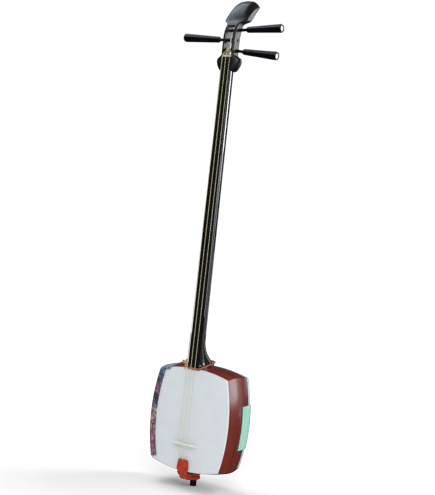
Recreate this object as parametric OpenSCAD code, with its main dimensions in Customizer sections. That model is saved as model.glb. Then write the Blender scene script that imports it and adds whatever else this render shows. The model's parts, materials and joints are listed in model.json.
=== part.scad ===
// Shamisen: a three-stringed long-necked lute with a square skin-covered sound box.
// Origin at the tip of the end pin, +Z up the neck, +X to the right seen from the front,
// +Y towards the back. Millimetres.

/* [Sound box] */
// Width between the corners of the rim
body_w = 155; // [150:1:175]
// Height between the corners of the rim
body_h = 181; // [170:1:195]
// Depth, skins included
body_d = 84; // [78:1:92]
// How far each side board bows out beyond the corners
side_bow = 12; // [8:0.5:15]
// How far each end board bows out beyond the corners
end_bow = 11; // [7:0.5:13]
// How far the boards swell at mid-depth
swell = 6; // [3:0.5:7]
// Thickness of the four boards at the rim
board_t = 14; // [11:1:18]
// Thickness of a skin
skin_t = 1; // [0.6:0.1:1.5]
// How far the front skin folds down over the boards
front_fold = 3; // [3:0.5:9]
// How far the back skin folds down over the boards
back_fold = 6; // [5:0.5:14]

/* [Neck] */
// Length from the nut to the sound box
neck_len = 625; // [600:1:640]
// Width of the fingerboard at the nut
neck_w_top = 22.6; // [21:0.2:25]
// Width of the fingerboard at the sound box
neck_w_low = 26.2; // [24:0.2:30]
// Depth of the neck below the headstock
neck_d = 24; // [20:0.5:26]
// Depth of the heel where it meets the sound box
heel_d = 68; // [50:1:74]
// Height of the heel's upright foot above the rim of the sound box
heel_foot = 8.5; // [8:0.5:12]
// Length of the heel's curve above its foot
heel_len = 51; // [40:1:65]
// How far the fingerboard stands in front of the skin
board_lift = 3; // [2:0.5:5]

/* [Pegs and strings] */
// Half width of the pegbox
pegbox_half_w = 13.5; // [12.5:0.5:15]
// Half width of the slot in the pegbox
slot_half_w = 8.6; // [8:0.2:9]
// Distance from the pegbox's centre to a peg's outer end
peg_reach = 113; // [100:1:120]
// Radius of a peg's grip at its outer end
peg_end_r = 8.8; // [7:0.2:9]
// Radius of a peg's shaft at the pegbox's centre
shaft_r = 3.05; // [2.8:0.05:3.4]
// Distance between neighbouring strings at the nut
nut_spacing = 8.8; // [8:0.2:9.5]
// Distance between neighbouring strings at the bridge
bridge_spacing = 9.6; // [9:0.2:12]

/* [Bridge and tailpiece] */
// Height of the bridge above the end pin's tip
bridge_z = 89.5; // [85:0.5:110]
// Width of the bridge's foot
bridge_w = 58; // [50:1:70]
// Height of the bridge
bridge_h = 12.5; // [10:0.5:14]
// Length of the end pin below the sound box
pin_len = 36; // [34:1:40]

/* [Hidden] */
$fn = 96;
big_fn = 360;
eps = 0.05;

// heights
body_z = pin_len + end_bow + body_h / 2;
top_z = body_z + body_h / 2 + end_bow;
nut_z = top_z + neck_len;
// depths
skin_y = -body_d / 2;
finger_y = skin_y - board_lift;
half_board = body_d / 2 - skin_t;
// radii of the bowed boards, and where their centres lie
function arc_r(half_chord, bow) = (half_chord * half_chord + bow * bow) / (2 * bow);
side_r = arc_r(body_h / 2, side_bow);
end_r = arc_r(body_w / 2, end_bow);
swell_r = arc_r(half_board, swell);
side_cx = body_w / 2 + side_bow - side_r;
end_cz = body_h / 2 + end_bow - end_r;
// the mitre halves the angle between a side board and an end board
mitre = 45 + (asin(body_h / 2 / side_r) - asin(body_w / 2 / end_r)) / 2;

black = [0.05, 0.05, 0.055];
rosewood = [0.45, 0.17, 0.13];
skin_white = [0.86, 0.88, 0.9];
ivory = [0.93, 0.91, 0.84];
gold = [0.85, 0.7, 0.4];
silk = [0.8, 0.76, 0.5];
red_cord = [0.8, 0.25, 0.18];
brocade = [0.5, 0.42, 0.55];
orange_cord = [0.85, 0.5, 0.35];
mint = [0.55, 0.8, 0.7];

// ---- helpers ----

// Faces of a solid lofted through rings of n points, each ring turning
// right-handed about the direction of travel
function loft_faces(rings, n) = concat(
    [[for (j = [0:n - 1]) j]],
    [for (i = [0:rings - 2], j = [0:n - 1])
        let (a = i * n + j, b = i * n + (j + 1) % n)
        each [[a, b + n, b], [a, a + n, b + n]]],
    [[for (j = [n - 1:-1:0]) (rings - 1) * n + j]]
);

module loft(rings) {
    n = len(rings[0]);
    points = [for (ring = rings) each ring];
    polyhedron(points, loft_faces(len(rings), n), convexity = 6);
}

function unit(v) = v / norm(v);
function tangent(path, i) = unit(path[min(i + 1, len(path) - 1)] - path[max(i - 1, 0)]);
// Carries a side vector along the path without twisting it
function carry(path, i, side) =
    i == len(path) ? [] :
    let (t = tangent(path, i), s = unit(side - (side * t) * t))
    concat([s], carry(path, i + 1, s));

// A round cord along a path
module cord(path, r, sides = 10) {
    first = tangent(path, 0);
    start = unit(cross(first, abs(first.x) < 0.9 ? [1, 0, 0] : [0, 1, 0]));
    across = carry(path, 0, start);
    loft([for (i = [0:len(path) - 1])
        let (t = tangent(path, i), u = across[i], v = cross(t, u))
        [for (k = [0:sides - 1])
            path[i] + r * (cos(k * 360 / sides) * u + sin(k * 360 / sides) * v)]]);
}

// An outline in the XZ plane, through a thickness centred on Y = 0
module standing(depth) {
    rotate([90, 0, 0]) linear_extrude(height = depth, center = true) children();
}

// An outline given as [y, z], through a width centred on X = 0
module sideways(width) {
    rotate([90, 0, 90]) linear_extrude(height = width, center = true) children();
}

// ---- sound box ----

// Radial section of the swelled outside of a board, moved out by grow
module swelled(r, grow) {
    translate([r + swell - swell_r, 0]) circle(r = swell_r + grow, $fn = big_fn);
}

// Revolves a radial section about the axis of the side boards' bow; the seam is kept
// on the far side, and the section's +y becomes +Y
module side_revolve(dir) {
    translate([dir * side_cx, 0, body_z]) rotate([0, dir > 0 ? 180 : 0, 0])
        rotate([-90, 0, 0]) rotate_extrude($fn = big_fn) children();
}

// Revolves a radial section about the axis of the end boards' bow
module end_revolve(dir) {
    translate([0, 0, body_z + dir * end_cz]) rotate([-90, 0, 0])
        rotate_extrude($fn = big_fn) children();
}

// The mitre line of the box's upper right corner runs from inside the frame to outside it
mitre_in = [body_w / 2, body_h / 2] - 60 * [cos(mitre), sin(mitre)];
mitre_out = [body_w / 2, body_h / 2] + 45 * [cos(mitre), sin(mitre)];

// The sector of the box that a side board fills, between its two mitres
module side_sector(dir) {
    translate([0, 0, body_z]) standing(2 * body_d)
        polygon([[dir * mitre_in.x, -mitre_in.y], [dir * mitre_out.x, -mitre_out.y],
                 [dir * mitre_out.x, mitre_out.y], [dir * mitre_in.x, mitre_in.y]]);
}

// The sector that an end board fills
module end_sector(dir) {
    translate([0, 0, body_z]) standing(2 * body_d)
        polygon([[-mitre_in.x, dir * mitre_in.y], [-mitre_out.x, dir * mitre_out.y],
                 [mitre_out.x, dir * mitre_out.y], [mitre_in.x, dir * mitre_in.y]]);
}

module board_section(r) {
    intersection() {
        swelled(r, 0);
        translate([r - board_t, -half_board]) square([board_t + swell + 1, 2 * half_board]);
    }
}

module side_board(dir) {
    color(rosewood) intersection() {
        side_revolve(dir) board_section(side_r);
        side_sector(dir);
    }
}

module end_board(dir) {
    intersection() {
        end_revolve(dir) board_section(end_r);
        end_sector(dir);
    }
}

module board_left() { side_board(-1); }
module board_right() { side_board(1); }

module board_top() {
    color(rosewood) difference() {
        end_board(1);
        spike_space(0.1);
    }
}

module board_bottom() {
    color(rosewood) difference() {
        end_board(-1);
        cylinder(r = spike_pin_r + 0.1, h = body_z);
    }
}

// Outline of a skin: the box's four bowed edges, moved out by grow
module skin_outline(grow) {
    intersection_for(dir = [-1, 1]) {
        intersection() {
            translate([dir * side_cx, 0]) circle(r = side_r + grow, $fn = big_fn);
            translate([0, dir * end_cz]) circle(r = end_r + grow, $fn = big_fn);
        }
    }
}

// Radial section of the part of a skin that folds over the boards
module fold_section(r, fold) {
    skin_out = 0.65;
    intersection() {
        difference() {
            swelled(r, skin_out);
            swelled(r, eps);
        }
        translate([r - 5, half_board - fold]) square([10, fold + skin_t / 2]);
    }
}

// A skin on the back, facing +Y
module skin(fold) {
    translate([0, body_d / 2 - skin_t / 2, body_z]) standing(skin_t) skin_outline(0.6);
    for (dir = [-1, 1]) {
        intersection() {
            side_revolve(dir) fold_section(side_r, fold);
            side_sector(dir);
        }
        intersection() {
            end_revolve(dir) fold_section(end_r, fold);
            end_sector(dir);
        }
    }
}

module back_skin() { color(skin_white) skin(back_fold); }

module front_skin() {
    neck_gap = neck_w_low + 1;
    color(skin_white) difference() {
        mirror([0, 1, 0]) skin(front_fold);
        translate([-neck_gap / 2, skin_y + skin_t + eps, top_z - 1]) cube([neck_gap, 20, 10]);
        translate([-neck_gap / 2, skin_y - 1, top_z]) cube([neck_gap, 20, 10]);
    }
}

// ---- neck ----

tenon_w = 12;
tenon_d = 9;
tenon_len = 32;
tenon_y = finger_y + 5.5;
headstock_low = nut_z - 28;
upper_low = nut_z - 222;
middle_low = nut_z - 424;

function neck_half_w(z) = (neck_w_low + (neck_w_top - neck_w_low) * (z - top_z) / neck_len) / 2;
// How far the neck has deepened into the heel: from 0 to 1, ever faster towards its foot
function heel(z) = pow(min(1, max(0, 1 - (z - top_z - heel_foot) / heel_len)), 2);
function neck_depth(z) = neck_d + (heel_d - neck_d) * heel(z);

// Section of the neck at height z: flat front, straight upper sides, rounded back
function neck_ring(z) =
    let (w = neck_half_w(z), d = neck_depth(z), s = 0.35 * d, e = 1, steps = 18,
         p = 2 / (2.1 + 0.6 * heel(z)))
    concat(
        [for (k = [0:steps]) let (a = k * 180 / steps, c = cos(a))
            [w * sign(c) * pow(abs(c), p), finger_y + s + (d - s) * pow(sin(a), p), z]],
        [[-w, finger_y + e, z], [-w + e, finger_y, z], [w - e, finger_y, z], [w, finger_y + e, z]]
    );

module neck_piece(low, high) { loft([neck_ring(low), neck_ring(high)]); }

// A tenon below height z, or the mortise that takes it, with a gap all round
module tenon(z, gap = 0) {
    translate([-tenon_w / 2 - gap, tenon_y - gap, z - tenon_len - gap])
        cube([tenon_w + 2 * gap, tenon_d + 2 * gap, tenon_len + 2 * gap]);
}

module upper_neck() {
    color(black) difference() {
        union() {
            neck_piece(upper_low, headstock_low);
            tenon(upper_low);
        }
        head_tenon(0.1);
    }
}

module middle_neck() {
    color(black) difference() {
        union() {
            neck_piece(middle_low, upper_low);
            tenon(middle_low);
        }
        tenon(upper_low, 0.1);
    }
}

module lower_neck() {
    heel_rings = [for (i = [0:11]) neck_ring(top_z + heel_foot + heel_len * i / 11)];
    color(black) difference() {
        loft(concat([neck_ring(top_z - 2)], heel_rings, [neck_ring(middle_low)]));
        tenon(middle_low, 0.1);
        spike_space(0.1);
        // the foot follows the swelled top of the box
        end_revolve(1) intersection() {
            swelled(end_r, eps);
            translate([end_r - 30, -heel_d]) square([40, 2 * heel_d]);
        }
        // the front slopes down to the edge of the skin
        sideways(2 * neck_w_low)
            polygon([[finger_y - 2, top_z - 5], [skin_y - 0.8, top_z - 5],
                     [skin_y - 0.8, top_z + 1], [finger_y - 0.1, top_z + 12],
                     [finger_y - 2, top_z + 12]]);
        // it stands clear of the skin's edge
        translate([-neck_w_low, finger_y - 5, top_z - 5])
            cube([2 * neck_w_low, skin_y + skin_t + 0.1 - finger_y + 5, 5.1]);
    }
}

// The spike runs from the heel through the box and ends in the round end pin
spike_w = 17;
spike_front = -26;
spike_back = 4;
spike_top = top_z + 7;
spike_low = pin_len + board_t + 0.3;
spike_foot_h = 20;
spike_pin_r = 5.8;
pin_head_r = 6;
pin_head_h = 10;

module spike_space(gap) {
    low = spike_low - gap;
    translate([-spike_w / 2 - gap, spike_front - gap, low])
        cube([spike_w + 2 * gap, spike_back - spike_front + 2 * gap, spike_top + gap - low]);
}

module neck_spike() {
    color(black) {
        spike_space(0);
        translate([-spike_w / 2, spike_front, spike_low])
            cube([spike_w, 2 * spike_back - spike_front, spike_foot_h]);
        cylinder(r = spike_pin_r, h = spike_low + 1);
        cylinder(r = pin_head_r, h = pin_head_h);
    }
}

// ---- headstock ----

slot_low = nut_z + 3;
slot_high = nut_z + 63;

// Each station of the headstock: height above the nut, distance behind the fingerboard,
// backward lean, half width, thickness, crown of the front, squareness of the section
head_stations = [
    [-28, 0.8, 0, 16.5, 23.6, 0, 2.8],
    [-24, 0.6, 0, 21, 24.4, 0, 2.6],
    [-17, 0.4, 0, 25.6, 25, 0, 2.4],
    [-9, 0.2, 0, 27.8, 25.5, 0, 2.3],
    [-3.5, 0.1, 0, 26, 25, 0, 2.4],
    [0, 0, 0, 20.5, 24.5, 0, 2.8],
    [3.5, 0, 0, 14.4, 24.5, 0, 5],
    [7, 0, 0, pegbox_half_w, 24.5, 0, 9],
    [34, 0, 0, pegbox_half_w, 24.5, 0, 9],
    [46, 1.2, 8, pegbox_half_w, 24.5, 0, 9],
    [56, 4.2, 16, pegbox_half_w, 23.6, 0, 9],
    [64, 8.6, 14, 13.8, 21, 0.2, 9],
    [69, 12.6, 4, 16, 18.8, 1, 8],
    [74.3, 18, 0, 24.8, 21, 2.5, 8],
    [85.5, 28, 22, 26, 16, 7.5, 8],
    [94, 36.5, 38, 26, 14.5, 10.5, 8],
    [103, 47.5, 52, 26, 11, 13, 8],
    [110.3, 60, 62, 25.2, 7, 13, 7],
    [114, 69, 66, 22.8, 3.4, 11.5, 6]
];

function catmull(a, b, c, d, t) =
    0.5 * (2 * b + (c - a) * t + (2 * a - 5 * b + 4 * c - d) * t * t
        + (3 * b - a - 3 * c + d) * t * t * t);

// Stations between the listed ones, on a smooth curve through them
function head_station(u) =
    let (last = len(head_stations) - 1, i = min(floor(u), last - 1), t = u - i)
    catmull(head_stations[max(i - 1, 0)], head_stations[i], head_stations[i + 1],
            head_stations[min(i + 2, last)], t);

function head_ring(s, steps = 32) = [
    for (k = [0:steps - 1])
        let (c = cos(k * 360 / steps), q = sin(k * 360 / steps), p = 2 / s[6],
             x = sign(c) * pow(abs(c), p),
             m = sign(q) * pow(abs(q), p),
             back = s[4] / 2 * (1 + m) - s[5] * (1 - pow(abs(x), 3)) * max(0, -m))
        [s[3] * x, finger_y + s[1] + cos(s[2]) * back, nut_z + s[0] - sin(s[2]) * back]
];

module head_tenon(gap = 0) {
    length = 14;
    translate([-tenon_w / 2 - gap, tenon_y - gap, headstock_low - length - gap])
        cube([tenon_w + 2 * gap, tenon_d + 2 * gap, length + 1 + gap]);
}

module headstock() {
    between = 2;
    last = (len(head_stations) - 1) * between;
    color(black) difference() {
        union() {
            loft([for (i = [0:last]) head_ring(head_station(i / between))]);
            head_tenon();
        }
        translate([-slot_half_w, finger_y - 20, slot_low])
            cube([2 * slot_half_w, 80, slot_high - slot_low]);
        // the lower end of the slot slopes in under the strings, just above the nut
        sideways(2 * (nut_spacing + 1.2))
            polygon([[finger_y - 1, nut_top + 0.1], [finger_y, nut_top + 0.1],
                     [finger_y + 9, nut_top + 9], [finger_y + 9, nut_top + 11],
                     [finger_y - 1, nut_top + 11]]);
        nut_bar(eps);
        for (peg = [0:2])
            at_peg(peg) peg_cone(-30, 30, eps);
    }
}

nut_left = -7.2;
nut_right = 11;
nut_h = 3.2;
nut_top = nut_z + nut_h / 2;

module nut_bar(gap = 0) {
    sunk = 2.5;
    proud = 1.1;
    translate([nut_left - gap, finger_y - proud, nut_z - nut_h / 2 - gap])
        cube([nut_right - nut_left + 2 * gap, proud + sunk + gap, nut_h + 2 * gap]);
}

module nut() { color(gold) nut_bar(); }

// ---- pegs ----

// Each peg: height above the nut, distance behind the fingerboard, side, upward lean,
// where along X its string is wound, and how much further than the others it reaches
pegs = [
    [14.2, 15, 1, -6.5, -4.5, -5],
    [34.2, 16, -1, 3.4, 0.5, 1.7],
    [55, 20.5, 1, 1.2, 4.2, -3.5]
];
grip_start = 29;
winding_r = 5;
winding_len = 7;

function cone_r(x) = shaft_r + 0.02 * x;
function peg_point(peg) = [0, finger_y + pegs[peg][1], nut_z + pegs[peg][0]];

// Places a peg that is drawn along +X from the pegbox's centre
module at_peg(peg) {
    side = pegs[peg][2];
    translate(peg_point(peg)) mirror([side < 0 ? 1 : 0, 0, 0]) rotate([0, -pegs[peg][3], 0])
        children();
}

module peg_cone(from, to, gap = 0) {
    translate([from, 0, 0]) rotate([0, 90, 0])
        cylinder(r1 = cone_r(from) + gap, r2 = cone_r(to) + gap, h = to - from, $fn = 64);
}

// Section of the grip: six ridges with shallow hollows between them
function grip_ring(x, r, steps = 36) = [
    for (k = [0:steps - 1])
        let (a = k * 360 / steps, f = r * (1 - 0.1 * (1 - abs(cos(3 * a)))))
        [x, f * cos(a), f * sin(a)]
];

// The shaft narrows to a waist between the pegbox and the grip
waist_x = 24;
waist_r = 2.8;
collar_r = 4;
// The cap lies at the bottom of a shallow dish in the grip's end
cap_r = 5.6;
cap_t = 1.2;
dish_depth = 1.6;

function reach(peg) = peg_reach + pegs[peg][5];

module peg_waist() {
    translate([14.4, 0, 0]) rotate([0, 90, 0])
        cylinder(r1 = cone_r(14.4), r2 = waist_r, h = waist_x - 14.4);
    translate([waist_x - 0.1, 0, 0]) rotate([0, 90, 0])
        cylinder(r1 = waist_r, r2 = collar_r, h = grip_start + 6 - waist_x);
}

module peg_body(peg) {
    end = reach(peg);
    shoulder_r = 0.74 * peg_end_r;
    grip = [
        [grip_start, collar_r], [grip_start + 2, 0.9 * shoulder_r], [grip_start + 6, 0.96 * shoulder_r],
        [grip_start + 13, shoulder_r], [end - 3.4, peg_end_r], [end - 2.6, peg_end_r - 0.1],
        [end, peg_end_r - 1.3]
    ];
    difference() {
        union() {
            peg_cone(-14.5, 14.5);
            peg_waist();
            loft([for (g = grip) grip_ring(g[0], g[1])]);
        }
        translate([end - dish_depth - cap_t, 0, 0]) rotate([0, 90, 0])
            cylinder(r = cap_r + eps, h = dish_depth + cap_t + 1);
    }
}

module peg_cap(peg) {
    translate([reach(peg) - dish_depth - cap_t, 0, 0]) rotate([0, 90, 0])
        cylinder(r = cap_r, h = cap_t);
}

// The turns of string round a shaft
module peg_winding(peg) {
    x = pegs[peg][2] * pegs[peg][4] - winding_len / 2;
    difference() {
        translate([x, 0, 0]) rotate([0, 90, 0]) cylinder(r = winding_r, h = winding_len);
        peg_cone(x - 1, x + winding_len + 1, 0.02);
    }
}

module peg_low() { color(black) at_peg(0) peg_body(0); }
module peg_middle() { color(black) at_peg(1) peg_body(1); }
module peg_high() { color(black) at_peg(2) peg_body(2); }
module cap_low() { color(ivory) at_peg(0) peg_cap(0); }
module cap_middle() { color(ivory) at_peg(1) peg_cap(1); }
module cap_high() { color(ivory) at_peg(2) peg_cap(2); }
module winding_low() { color(silk) at_peg(0) peg_winding(0); }
module winding_middle() { color(silk) at_peg(1) peg_winding(1); }
module winding_high() { color(silk) at_peg(2) peg_winding(2); }

// ---- strings, bridge and tailpiece ----

string_r = [0.6, 0.5, 0.42];
string_gap = 0.3;
bridge_top_y = skin_y - bridge_h;
braid_top = 60;

// Where a line from p touches a circle about c on its upper side, in the YZ plane
function touch(p, c, r) =
    let (d = p - c, a = atan2(d[1], d[0]) - acos(r / norm(d)))
    c + r * [cos(a), sin(a)];

// The first string rests on the wood, the others on the nut
function nut_y(i) = finger_y - (i == 0 ? 0.2 : 1.15) - string_r[i];

function string_path(i) =
    let (x = i - 1,
         at_nut = [nut_y(i), nut_top],
         hub = [peg_point(i).y, peg_point(i).z],
         end = touch(at_nut, hub, winding_r + string_r[i] + 0.35))
    [
        [pegs[i][4], end[0], end[1]],
        [x * nut_spacing, at_nut[0], at_nut[1]],
        [x * bridge_spacing, bridge_top_y - string_gap - string_r[i], bridge_z - 3],
        [x * 8, skin_y - 4, braid_top + 0.1]
    ];

module playing_string(i) { color(silk) cord(string_path(i), string_r[i], 8); }
module string_1() { playing_string(0); }
module string_2() { playing_string(1); }
module string_3() { playing_string(2); }

module bridge() {
    foot_y = skin_y - 0.06;
    foot_t = 5.6;
    top_t = 1.8;
    top_w = bridge_w - 6;
    arch_w = 36;
    arch_h = 4;
    color(ivory) translate([0, 0, bridge_z]) intersection() {
        sideways(2 * bridge_w)
            polygon([[foot_y, -foot_t / 2], [foot_y, foot_t / 2],
                     [bridge_top_y, top_t / 2], [bridge_top_y, -top_t / 2]]);
        linear_extrude(height = 2 * foot_t, center = true)
            polygon([[-bridge_w / 2, foot_y], [-arch_w / 2, foot_y],
                     [-arch_w / 2 + 3, foot_y - arch_h], [arch_w / 2 - 3, foot_y - arch_h],
                     [arch_w / 2, foot_y], [bridge_w / 2, foot_y],
                     [top_w / 2, bridge_top_y], [-top_w / 2, bridge_top_y]]);
    }
}

braid_low = 40;

module tailpiece_braid() {
    thick = 7;
    color(red_cord) translate([0, skin_y - 0.1 - thick / 2, 0]) standing(thick)
        polygon([[-12, braid_top], [-14.5, braid_low + 6], [-13.5, braid_low],
                 [13.5, braid_low], [14.5, braid_low + 6], [12, braid_top]]);
}

loop_r = 3.5;
loop_reach = spike_pin_r + loop_r + 0.1;

// Half of a loop: from the braid over the rim, under the box and round the pin
outer_half = [
    [-7, -46, 40], [-7, -46.4, 36], [-7.2, -44.5, 31.6], [-7.6, -39.5, 28.3],
    [-8.4, -28, 26.2], [-9, -12, 25], [-loop_reach, 0, 24.5]
];
inner_half = [
    [-2.6, -46, 40], [-2.6, -46.4, 36], [-2.7, -45.2, 30], [-3.2, -41.5, 24.5],
    [-5.2, -30, 19.8], [-8.4, -14, 17.4], [-loop_reach, 0, 16.8]
];

function mirrored(path) = [for (i = [len(path) - 1:-1:0]) [-path[i].x, path[i].y, path[i].z]];
function round_pin(z) = [for (a = [150:-30:30]) [loop_reach * cos(a), loop_reach * sin(a), z]];
function whole_loop(half) = concat(half, round_pin(half[len(half) - 1].z), mirrored(half));

module tailpiece_loops() {
    color(red_cord) {
        cord(whole_loop(outer_half), loop_r);
        cord(whole_loop(inner_half), loop_r);
    }
}

// ---- cover, cord and mat ----

cover_t = 1.2;
cover_gap = 0.9;
cover_face = body_d / 2 + 0.3;
flange_side = 11;
flange_end = 3;
cover_low = body_z - body_h / 2 + 3;
cover_end_x = -55;

// Section of a disc with a swelled rim, from near its axis outwards
module cover_disc(r, grow, face) {
    intersection() {
        union() {
            swelled(r, grow);
            translate([0, -face]) square([r - 2, 2 * face]);
        }
        translate([20, -face]) square([r + swell, 2 * face]);
    }
}

// The space inside the left and top boards' outsides, moved out by grow
module cover_form(grow, face) {
    intersection() {
        side_revolve(-1) cover_disc(side_r, grow, face);
        end_revolve(1) cover_disc(end_r, grow, face);
    }
}

// The part of the skins that the cover leaves bare
module cover_window() {
    intersection() {
        translate([-side_cx, 0]) circle(r = side_r - flange_side, $fn = big_fn);
        translate([0, end_cz]) circle(r = end_r - flange_end, $fn = big_fn);
    }
}

module arm_cover() {
    color(brocade) difference() {
        intersection() {
            cover_form(cover_gap + cover_t, cover_face + cover_t);
            translate([-body_w, -body_d, cover_low])
                cube([body_w + cover_end_x, 2 * body_d, 2 * body_h]);
        }
        cover_form(cover_gap, cover_face);
        translate([0, 0, body_z]) standing(2 * body_d) cover_window();
    }
}

cord_r = 1.6;
cord_path = [
    [-52.5, -12, 242.6], [-40, -14, 244.1], [-28, -20, 245], [-20, -31, 244.6],
    [-17.4, -41, 243.4], [-13, -46, 241.8], [-6, -46.3, 241.2], [8, -46.3, 241.2],
    [14.5, -45.4, 241.8], [16, -40, 243.4],
    [16, -22, 246.5], [16, -6, 249], [15, 5, 251], [12, 14, 252], [6.5, 21, 252], [0, 23, 252],
    [-6.5, 21, 252], [-12, 14, 252], [-15, 5, 251], [-16, -6, 249.5], [-16, -22, 249],
    [-16.2, -36, 248.8],
    [-17, -43, 248.8]
];

module cover_cord() { color(orange_cord) cord(cord_path, cord_r, 8); }

module cover_knot() {
    knot_r = 3.4;
    color(orange_cord) translate([-15.2, -49, 250.8]) sphere(r = knot_r, $fn = 48);
}

mat_low = body_z - 49;
mat_high = body_z + 39;
mat_front = 4;

module knee_mat() {
    inner = 0.9;
    outer = 2.1;
    wrap = 10;
    face = body_d / 2;
    color(mint) intersection() {
        side_revolve(1) difference() {
            intersection() {
                swelled(side_r, outer);
                translate([side_r - wrap, mat_front]) square([30, face + outer - mat_front]);
            }
            intersection() {
                swelled(side_r, inner);
                translate([side_r - wrap - 1, mat_front - 1]) square([30, face - mat_front + 1.1]);
            }
        }
        translate([0, -body_d, mat_low]) cube([200, 2 * body_d, mat_high - mat_low]);
    }
}

board_left();
board_right();
board_top();
board_bottom();
front_skin();
back_skin();
headstock();
upper_neck();
middle_neck();
lower_neck();
neck_spike();
nut();
peg_low();
peg_middle();
peg_high();
cap_low();
cap_middle();
cap_high();
winding_low();
winding_middle();
winding_high();
string_1();
string_2();
string_3();
bridge();
tailpiece_braid();
tailpiece_loops();
arm_cover();
cover_cord();
cover_knot();
knee_mat();
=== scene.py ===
import json
import math

import bpy
import numpy as np
from mathutils import Matrix, Vector


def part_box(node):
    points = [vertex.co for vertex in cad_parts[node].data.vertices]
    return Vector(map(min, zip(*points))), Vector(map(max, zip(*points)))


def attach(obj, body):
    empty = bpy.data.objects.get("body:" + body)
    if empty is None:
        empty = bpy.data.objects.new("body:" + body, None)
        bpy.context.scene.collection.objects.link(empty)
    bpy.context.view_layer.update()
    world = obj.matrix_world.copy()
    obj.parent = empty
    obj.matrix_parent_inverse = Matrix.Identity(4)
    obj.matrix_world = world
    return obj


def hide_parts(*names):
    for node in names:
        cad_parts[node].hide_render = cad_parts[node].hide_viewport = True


# Looks of the shamisen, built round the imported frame. Lengths in this file are millimetres in the
# row's frame (origin at the end pin's tip, +Z up the neck, +Y to the back) until add_piece() turns
# them into metres.
MM = 0.001

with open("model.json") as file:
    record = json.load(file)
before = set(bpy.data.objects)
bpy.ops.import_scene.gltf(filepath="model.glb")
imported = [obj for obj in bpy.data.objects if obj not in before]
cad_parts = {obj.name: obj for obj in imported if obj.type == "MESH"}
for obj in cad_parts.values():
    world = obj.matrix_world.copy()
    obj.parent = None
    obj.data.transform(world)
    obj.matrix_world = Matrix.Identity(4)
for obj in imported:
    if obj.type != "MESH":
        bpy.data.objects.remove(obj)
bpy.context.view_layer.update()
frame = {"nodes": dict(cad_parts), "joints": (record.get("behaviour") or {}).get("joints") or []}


def node_box(node):
    """Lowest and highest corner of a CAD node, in millimetres."""
    low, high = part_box(node)
    return np.array(low) / MM, np.array(high) / MM


# ---- dimensions, read from the frame ----

FRONT_SKIN = node_box("front_skin")
BACK_SKIN = node_box("back_skin")
NUT = node_box("nut")
HALF_DEPTH = BACK_SKIN[1][1]
BODY_Z = (BACK_SKIN[0][2] + BACK_SKIN[1][2]) / 2
SKIN_Y = FRONT_SKIN[0][1]
NUT_Z = (NUT[0][2] + NUT[1][2]) / 2
NUT_TOP = NUT[1][2]
NUT_PROUD = 1.1
FINGER_Y = NUT[0][1] + NUT_PROUD
SWELL = 6.0
SIDE_OUT = node_box("board_right")[1][0] - SWELL
END_OUT = node_box("board_top")[1][2] - SWELL - BODY_Z
TOP_Z = BODY_Z + END_OUT
SIDE_BOW = 12.0
END_BOW = 11.0
HALF_W = SIDE_OUT - SIDE_BOW
HALF_H = END_OUT - END_BOW
SKIN_T = 1
HALF_BOARD = HALF_DEPTH - SKIN_T


def arc_radius(half_chord, bow):
    return (half_chord**2 + bow**2) / (2 * bow)


END_R = arc_radius(HALF_W, END_BOW)
SWELL_R = arc_radius(HALF_BOARD, SWELL)

# ---- camera, lights and floor ----


def look_at(obj, aim, roll=0.0):
    back = (obj.location - Vector(aim)).normalized()
    turn = back.to_track_quat("Z", "Y").to_matrix().to_4x4()
    obj.matrix_world = Matrix.Translation(obj.location) @ turn @ Matrix.Rotation(roll, 4, "Z")


def add_camera():
    azimuth, elevation, roll = math.radians(32.29), math.radians(0.88), math.radians(6.08)
    aim = Vector((0.0176, -0.0304, 0.4852))
    distance = 1.994
    data = bpy.data.cameras.new("camera")
    data.lens = 73.0
    camera = bpy.data.objects.new("camera", data)
    bpy.context.scene.collection.objects.link(camera)
    level = math.cos(elevation)
    camera.location = aim + distance * Vector(
        (math.sin(azimuth) * level, -math.cos(azimuth) * level, math.sin(elevation))
    )
    look_at(camera, aim, roll)
    bpy.context.scene.camera = camera


def add_light(name, location, aim, size, power, colour=(1, 1, 1)):
    data = bpy.data.lights.new(name, "AREA")
    data.shape = "RECTANGLE"
    data.size, data.size_y = size
    data.energy = power
    data.color = colour
    light = bpy.data.objects.new(name, data)
    bpy.context.scene.collection.objects.link(light)
    light.location = location
    look_at(light, aim)


def add_neck_strip():
    """A narrow light at the right back that the neck's side mirrors: brightest at the top, dim
    over most of its height and bright again just above the floor."""
    x, y, width, strip_top = 0.872, 1.22, 0.10, 1.8
    colour = (0.92, 0.96, 1)
    # height where each step starts, brightness
    steps = [
        (0.005, 6), (0.06, 0.9), (0.15, 1.3), (0.46, 1.9),
        (0.54, 2.8), (0.62, 4.6), (0.70, 8), (0.80, 19),
    ]
    tops = [low for low, _ in steps[1:]] + [strip_top]
    for (low, glow), top in zip(steps, tops):
        middle, height = (low + top) / 2, top - low
        place, aim = (x, y, middle), (0, 0, middle)
        power = math.pi * width * height * glow
        add_light(f"neck_strip_{low:.2f}", place, aim, (width, height), power, colour)


def add_lights():
    """A key beside the camera, a cool light over the headstock, three lights at the back that
    show as highlights on the pegbox, on the right board and in the flare of the heel, and the
    strip that the neck mirrors."""
    add_light("key", (1.6, -2.7, 2.0), (0, 0, 0.45), (2.2, 2.2), 62)
    add_light("overhead", (-0.8, -0.1, 2.3), (0, 0, 0.8), (1.4, 1.4), 24, (0.76, 0.87, 1))
    add_light("head_glow", (0.95, 1.35, 1.6), (0, 0, 0.95), (0.7, 0.7), 8.5)
    add_light("board_glow", (1.33, 0.96, 0.50), (0.09, 0, 0.2), (0.6, 0.6), 7, (0.9, 0.95, 1))
    add_light("heel_glow", (0.23, 1.28, 0.30), (0, 0, 0.27), (0.36, 0.3), 0.3)
    add_neck_strip()


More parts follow.
